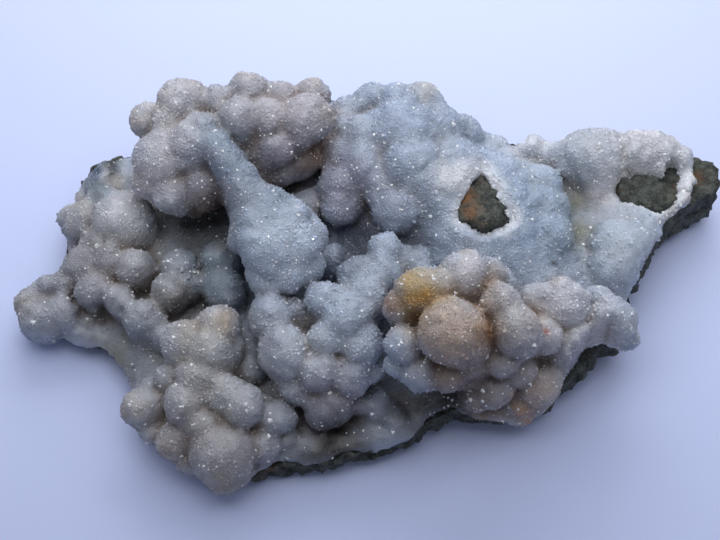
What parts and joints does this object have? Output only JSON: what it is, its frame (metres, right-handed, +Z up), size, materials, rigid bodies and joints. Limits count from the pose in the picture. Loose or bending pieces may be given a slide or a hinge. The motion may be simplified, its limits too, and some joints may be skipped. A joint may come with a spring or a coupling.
{
  "type": "chalcedony hand specimen",
  "caption": "Natural specimen: a blue-grey grape-like chalcedony crust on a broken slab of dark basalt, resting on the slab's flat underside.",
  "frame": {"origin": "middle of the footprint, on the resting face", "axes": "+Z up from the resting face, +X along the specimen's length to its right tip, +Y to its back"},
  "size_m": [0.1246, 0.0744, 0.0344],
  "materials": {
    "basalt": "broken, rough",
    "chalcedony": "fine sparkling druse over milky lumps"
  },
  "bodies": {
    "root": {"basalt_matrix": "basalt", "chalcedony_crust": "chalcedony"}
  },
  "joints": []
}
